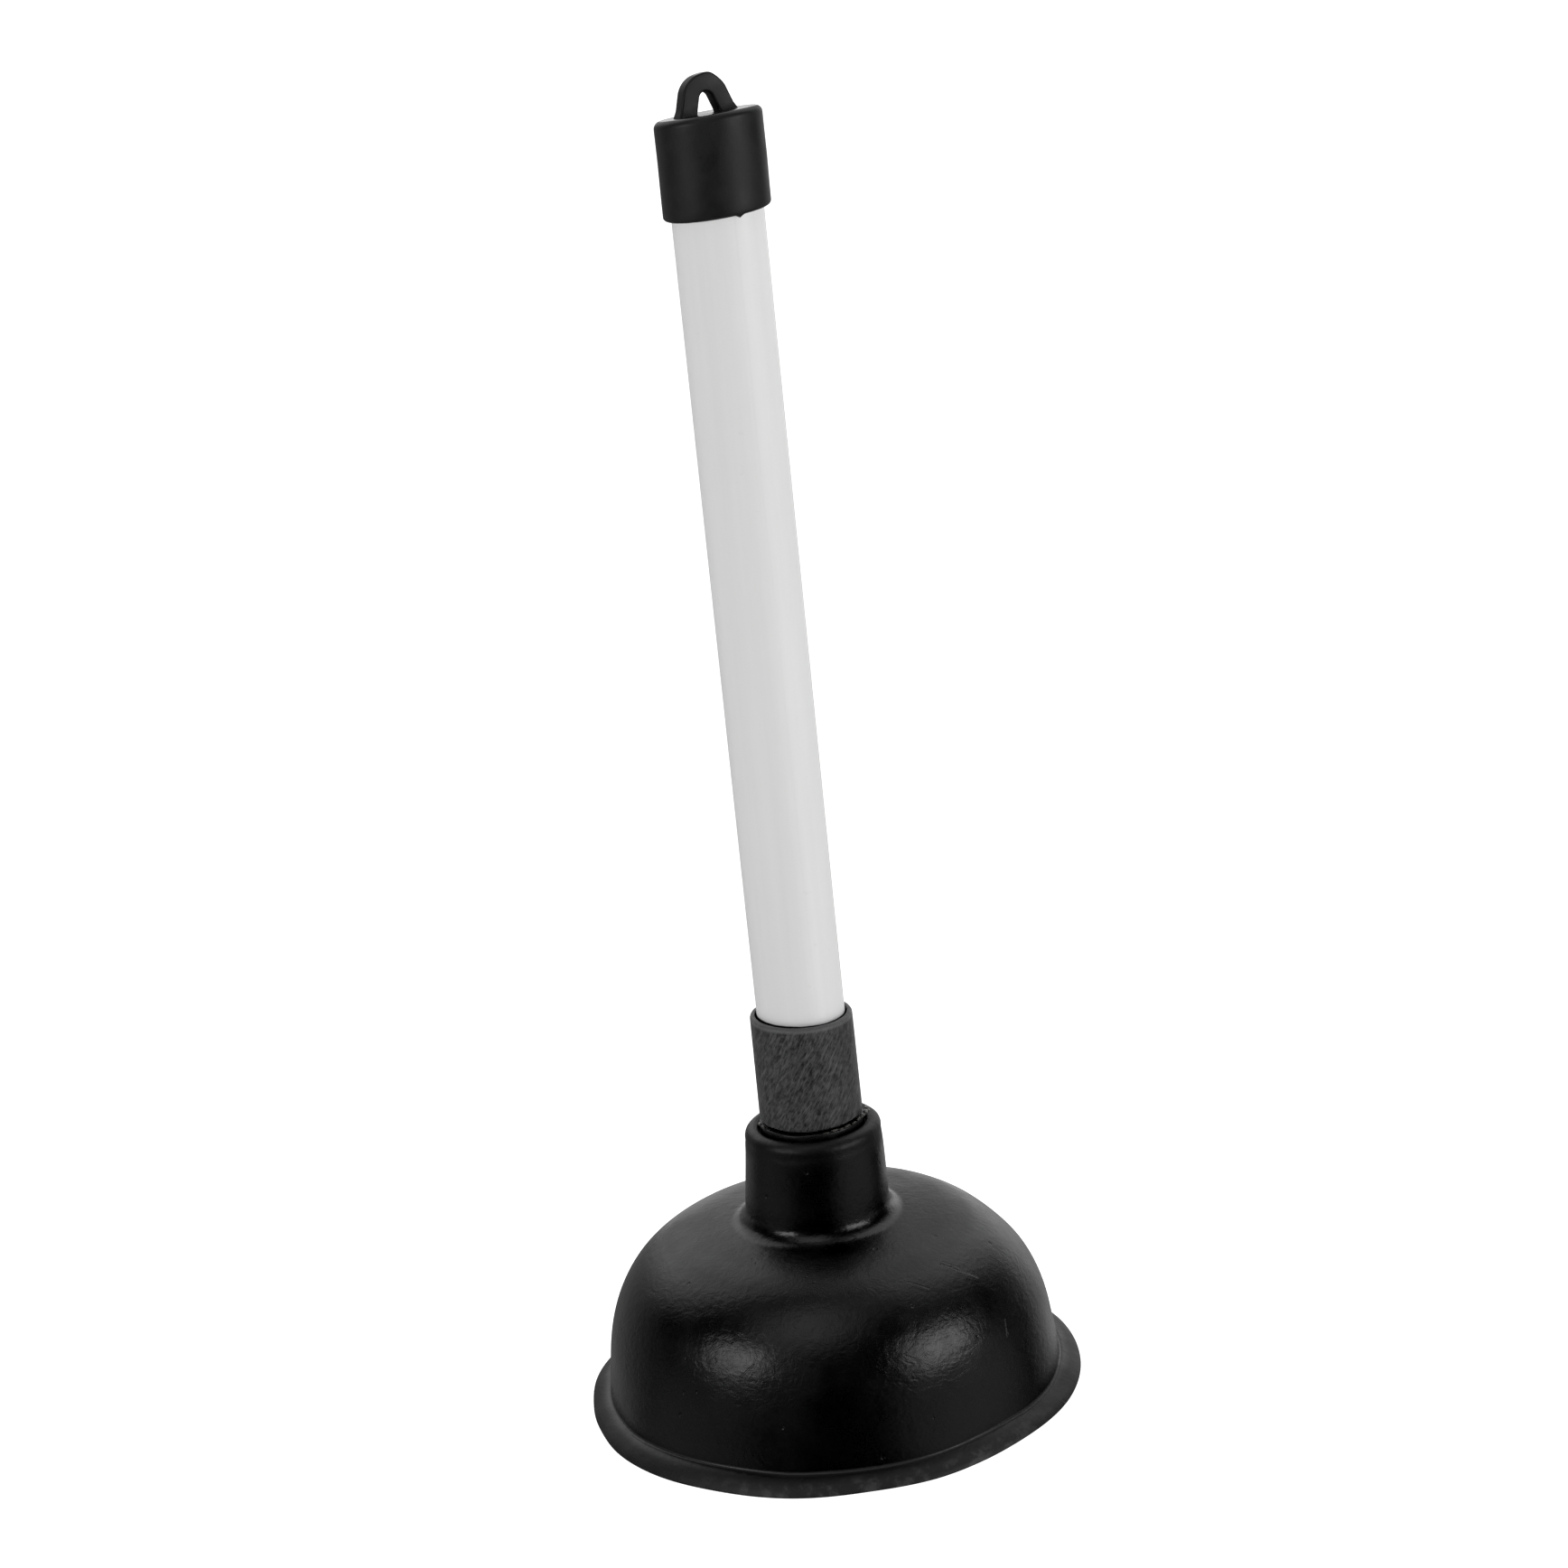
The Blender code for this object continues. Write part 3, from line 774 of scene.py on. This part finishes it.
def reshape_sheath(place, normal):
    """Adds the film's lap, a faint step up the handle just right of centre, and a slight unevenness."""
    out = Vector((place.x, place.y, 0.0)).normalized()
    if place.dot(out) < SHEATH_RADIUS - SHEATH_WALL / 2:
        return place
    seam = LAP_TURN + 3.0 * noise.noise(Vector((0.0, 0.0, place.z * 22)))
    turn = turn_of(out)
    lap = smooth(turn, seam, seam + 3.0) * (1 - smooth(turn, seam + 20.0, seam + 34.0))
    wave = noise.noise(Vector((place.x * 30, place.y * 30, place.z * 16)))
    return place + out * (SHEATH_LAP * lap + SHEATH_WAVER * wave)


def make_sheath(look):
    inside = SHEATH_RADIUS - SHEATH_WALL
    outline = line((inside, HANDLE_TOP), (SHEATH_RADIUS, HANDLE_TOP), 1)
    outline += line((SHEATH_RADIUS, HANDLE_TOP), (SHEATH_RADIUS, HANDLE_FOOT), 60)
    outline += [(SHEATH_RADIUS, HANDLE_FOOT), (inside, HANDLE_FOOT), (inside, HANDLE_TOP)]
    sheath = turned("sheath_film", outline, 2 * HANDLE_SEGMENTS, reshape_sheath)
    sheath.data.materials.append(look)
    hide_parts("handle_sheath")
    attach(sheath, "handle")


def cap_slope(place, share):
    """The height that the askew cap gains at a point: share is 0 at its foot and 1 at its roof."""
    side = place.dot(RIGHT) * math.tan(math.radians(CAP_SIDE_TILT))
    back = place.dot(AWAY) * math.tan(math.radians(CAP_BACK_TILT)) * share
    return side + back


def reshape_cap(place, normal):
    share = smooth(place.z, CAP_BOTTOM, CAP_TOP)
    bulge = noise.noise(place * 90) * 0.10 * MM
    moved = place + Vector((0, 0, cap_slope(place, share)))
    out = Vector((normal.x, normal.y, 0.0))
    away = (turn_of(place) - FLASH_TURN) / FLASH_HALF_WIDTH
    low = 1 - smooth(place.z, CAP_BOTTOM, CAP_BOTTOM + 0.8 * MM)
    moved.z -= FLASH_LENGTH * math.exp(-away * away) * low
    return moved + out * bulge


def loop_section(flare):
    """The loop's cross-section as (in-plane, depth) points: a rounded bar with a slight hollow outside."""
    half_band = LOOP_BAND / 2 + flare
    half_depth = LOOP_DEPTH / 2 + flare
    points = []
    corners = ((1, 1, 0), (-1, 1, 90), (-1, -1, 180), (1, -1, 270))
    for side, front, start in corners:
        centre = (side * (half_band - LOOP_CORNER), front * (half_depth - LOOP_CORNER))
        points += arc(centre, LOOP_CORNER, start, start + 90, 5)
    hollowed = []
    for across, depth in points:
        hollow = LOOP_HOLLOW * (1 - (depth / half_depth) ** 2) if across > 0 else 0.0
        hollowed.append((across - hollow, depth))
    return hollowed


def loop_path():
    """Points on the loop's centre line over the roof, each with its outward direction, both in XZ."""
    slope = math.tan(LOOP_LEAN)
    outer = (LOOP_HALF_WIDTH - LOOP_TOP * slope) / (1 / math.cos(LOOP_LEAN) - slope)
    middle = outer - LOOP_BAND / 2
    lean = math.degrees(LOOP_LEAN)
    centre = (0.0, LOOP_TOP - outer)
    start = Vector((middle * math.cos(LOOP_LEAN), centre[1] + middle * math.sin(LOOP_LEAN)))
    down = Vector((math.sin(LOOP_LEAN), -math.cos(LOOP_LEAN)))
    length = (start.y + LOOP_ROOT) / math.cos(LOOP_LEAN)
    right_leg = []
    for step in range(LEG_STEPS, 0, -1):
        share = (step / LEG_STEPS) ** 0.8
        right_leg.append((start + down * length * share, Vector((math.cos(LOOP_LEAN), math.sin(LOOP_LEAN)))))
    bend = []
    for step in range(BEND_STEPS + 1):
        angle = math.radians(lean + (180 - 2 * lean) * step / BEND_STEPS)
        out = Vector((math.cos(angle), math.sin(angle)))
        bend.append((Vector(centre) + out * middle, out))
    left_leg = [(Vector((-p.x, p.y)), Vector((-n.x, n.y))) for p, n in reversed(right_leg)]
    return right_leg + bend + left_leg


def make_loop():
    """The loop as one closed bar, swept along its arch and set on the askew roof."""
    mesh = bpy.data.meshes.new("loop_bar")
    bm = bmesh.new()
    rings = []
    for point, out in loop_path():
        flare = LOOP_FOOT_FLARE * (1 - smooth(point.y, -LOOP_ROOT, 1.6 * MM)) ** 1.5
        ring = []
        away = (math.degrees(math.atan2(out.y, out.x)) - 72.0) / 16.0
        hump = LOOP_HUMP * math.exp(-away * away)
        for across, depth in loop_section(flare):
            spot = point + out * (across + (hump if across > 0 else 0.0))
            ring.append(bm.verts.new((spot.x - LOOP_SHIFT, depth, CAP_TOP + spot.y)))
        rings.append(ring)
    for first, second in zip(rings, rings[1:]):
        for index in range(len(first)):
            after = (index + 1) % len(first)
            bm.faces.new((first[index], first[after], second[after], second[index]))
    bm.faces.new(rings[0])
    bm.faces.new(rings[-1])
    bmesh.ops.recalc_face_normals(bm, faces=bm.faces)
    bm.to_mesh(mesh)
    bm.free()
    loop = add_object("loop_bar", mesh, 50.0)
    pivot = Vector((0, 0, CAP_TOP))
    sideways = Matrix.Rotation(math.radians(-CAP_SIDE_TILT), 4, AWAY)
    backwards = Matrix.Rotation(math.radians(CAP_BACK_TILT), 4, RIGHT)
    tilt = sideways @ backwards
    loop.data.transform(Matrix.Translation(pivot) @ tilt @ Matrix.Translation(-pivot))
    return loop


def joined(first, second, operation="UNION"):
    """Applies an exact Boolean of second to first, and removes second."""
    modifier = first.modifiers.new("join", "BOOLEAN")
    modifier.operation = operation
    modifier.solver = "EXACT"
    modifier.object = second
    bpy.context.view_layer.update()
    evaluated = first.evaluated_get(bpy.context.evaluated_depsgraph_get())
    mesh = bpy.data.meshes.new_from_object(evaluated)
    first.modifiers.clear()
    first.data = mesh
    bpy.data.objects.remove(second, do_unlink=True)
    return first


def make_cap(look):
    inside = SHEATH_RADIUS + GAP
    roof = HANDLE_TOP + GAP
    outline = line((0.0, CAP_TOP), (CAP_RADIUS - CAP_TOP_ROUND, CAP_TOP), 4)
    outline += arc((CAP_RADIUS - CAP_TOP_ROUND, CAP_TOP - CAP_TOP_ROUND), CAP_TOP_ROUND, 90, 0, 10)[:-1]
    outline += line((CAP_RADIUS, CAP_TOP - CAP_TOP_ROUND), (CAP_RADIUS, CAP_BOTTOM + CAP_BOTTOM_ROUND), 12)
    foot = (CAP_RADIUS - CAP_BOTTOM_ROUND, CAP_BOTTOM + CAP_BOTTOM_ROUND)
    outline += arc(foot, CAP_BOTTOM_ROUND, 0, -90, 5)
    outline += line((inside, CAP_BOTTOM), (inside, roof), 8)
    outline += line((inside, roof), (0.0, roof), 2) + [(0.0, roof)]
    cap = turned("cap_with_loop", outline, HANDLE_SEGMENTS, reshape_cap)
    cap = joined(cap, make_loop())
    cap.data.materials.clear()
    cap.data.materials.append(look)
    cap.data.shade_smooth()
    cap.data.set_sharp_from_angle(angle=math.radians(40))
    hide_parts("hanging_cap")
    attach(cap, "handle")


def make_glue(look):
    """A smear of set glue on the collar's top, thickest to the right of the camera, with a few flecks."""
    bm = bmesh.new()
    for turn, size, out, up in GLUE_FLECKS:
        centre = around(turn) * out * MM + Vector((0, 0, COLLAR_TOP + up * MM))
        ball = bmesh.ops.create_icosphere(bm, subdivisions=3, radius=size * MM)["verts"]
        along = around(turn + 90)
        for vert in ball:
            spot = vert.co.copy()
            rough = 1 + 0.35 * noise.noise(spot * 900 + Vector((turn, 0, 0)))
            wide = spot.x * 1.5 * rough
            vert.co = centre + along * wide + around(turn) * spot.y * 0.6 * rough
            vert.co.z += spot.z * 0.45 * rough
    mesh = bpy.data.meshes.new("glue_smear")
    bm.to_mesh(mesh)
    bm.free()
    glue = add_object("glue_smear", mesh, 60.0)
    glue.data.materials.append(look)
    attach(glue, "handle")


def dress_core(look):
    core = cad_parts["handle_core"]
    core.data.materials.clear()
    core.data.materials.append(look)


# ---------------------------------------------------------------- stage

def make_floor():
    mesh = bpy.data.meshes.new("floor")
    corners = [(-FLOOR_HALF, -FLOOR_HALF, 0), (FLOOR_HALF, -FLOOR_HALF, 0)]
    corners += [(FLOOR_HALF, FLOOR_HALF, 0), (-FLOOR_HALF, FLOOR_HALF, 0)]
    mesh.from_pydata(corners, [], [(0, 1, 2, 3)])
    floor = bpy.data.objects.new("floor", mesh)
    bpy.context.scene.collection.objects.link(floor)
    look = bpy.data.materials.new("pale_floor")
    look.use_nodes = True
    shader = look.node_tree.nodes["Principled BSDF"]
    shader.inputs["Base Color"].default_value = (0.9, 0.9, 0.9, 1.0)
    shader.inputs["Roughness"].default_value = 0.9
    shader.inputs["Emission Color"].default_value = (1.0, 1.0, 1.0, 1.0)
    shader.inputs["Emission Strength"].default_value = FLOOR_GLOW
    mesh.materials.append(look)
    floor.visible_glossy = False


def make_lamp(name, direction, width, height, radiance):
    """A soft rectangular lamp that faces the cup from a direction."""
    data = bpy.data.lights.new(name, "AREA")
    data.shape = "RECTANGLE"
    data.size = width
    data.size_y = height
    data.energy = radiance * math.pi * width * height
    lamp = bpy.data.objects.new(name, data)
    lamp.location = Vector((0, 0, LAMP_TARGET_HEIGHT)) + direction * LAMP_DISTANCE
    lamp.visible_camera = False
    lamp.rotation_euler = direction.to_track_quat("Z", "Y").to_euler()
    bpy.context.scene.collection.objects.link(lamp)


def make_world():
    """Studio surroundings: soft lobes of light for surfaces to reflect, and plain white seen directly."""
    world = bpy.data.worlds.new("studio")
    world.use_nodes = True
    nodes = world.node_tree.nodes
    links = world.node_tree.links
    place = nodes.new("ShaderNodeTexCoord").outputs["Generated"]
    total = None
    for turn, lift, inner, outer, strength in GLOWS:
        facing = nodes.new("ShaderNodeVectorMath")
        facing.operation = "DOT_PRODUCT"
        facing.inputs[1].default_value = around(turn, lift)
        links.new(place, facing.inputs[0])
        lobe = nodes.new("ShaderNodeMapRange")
        lobe.interpolation_type = "SMOOTHSTEP"
        lobe.inputs["From Min"].default_value = math.cos(math.radians(outer))
        lobe.inputs["From Max"].default_value = math.cos(math.radians(inner))
        lobe.inputs["To Max"].default_value = strength
        links.new(facing.outputs["Value"], lobe.inputs["Value"])
        add = nodes.new("ShaderNodeMath")
        add.inputs[0].default_value = WORLD_BASE
        if total:
            links.new(total, add.inputs[0])
        links.new(lobe.outputs["Result"], add.inputs[1])
        total = add.outputs[0]
    surroundings = nodes["Background"]
    surroundings.inputs["Color"].default_value = (1.0, 1.0, 1.0, 1.0)
    links.new(total, surroundings.inputs["Strength"])
    plain = nodes.new("ShaderNodeBackground")
    plain.inputs["Color"].default_value = (1.0, 1.0, 1.0, 1.0)
    mix = nodes.new("ShaderNodeMixShader")
    links.new(nodes.new("ShaderNodeLightPath").outputs["Is Camera Ray"], mix.inputs[0])
    links.new(surroundings.outputs[0], mix.inputs[1])
    links.new(plain.outputs[0], mix.inputs[2])
    links.new(mix.outputs[0], nodes["World Output"].inputs["Surface"])
    bpy.context.scene.world = world


def make_camera():
    data = bpy.data.cameras.new("camera")
    data.sensor_width = 36.0
    data.lens = CAMERA_LENS
    data.clip_end = 50.0
    camera = bpy.data.objects.new("camera", data)
    pitch = math.radians(CAMERA_PITCH)
    yaw = math.radians(CAMERA_YAW)
    level = AWAY * math.cos(yaw) + RIGHT * math.sin(yaw)
    forward = level * math.cos(pitch) - Vector((0, 0, 1)) * math.sin(pitch)
    right = RIGHT * math.cos(yaw) - AWAY * math.sin(yaw)
    up = right.cross(forward)
    roll = math.radians(CAMERA_ROLL)
    rolled_right = right * math.cos(roll) + up * math.sin(roll)
    rolled_up = up * math.cos(roll) - right * math.sin(roll)
    turn = Matrix((rolled_right, rolled_up, -forward)).transposed()
    camera.matrix_world = Matrix.Translation(
        -AWAY * CAMERA_DISTANCE + Vector((0, 0, CAMERA_HEIGHT))
    ) @ turn.to_4x4()
    bpy.context.scene.collection.objects.link(camera)
    bpy.context.scene.camera = camera


def make_stage():
    make_floor()
    make_world()
    make_camera()
    for name, place, width, height, radiance in LAMPS:
        make_lamp(name, around(*place), width, height, radiance)
    view = bpy.context.scene.view_settings
    view.view_transform = "Standard"
    view.use_curve_mapping = True
    view.curve_mapping.black_level = (BLACK_LEVEL, BLACK_LEVEL, BLACK_LEVEL)
    view.curve_mapping.update()


make_stage()
make_cup(rubber_look())
make_bush(bush_look())
make_socket(socket_look())
make_sheath(sheath_look())
make_cap(cap_look())
make_glue(glue_look())
dress_core(wood_look())
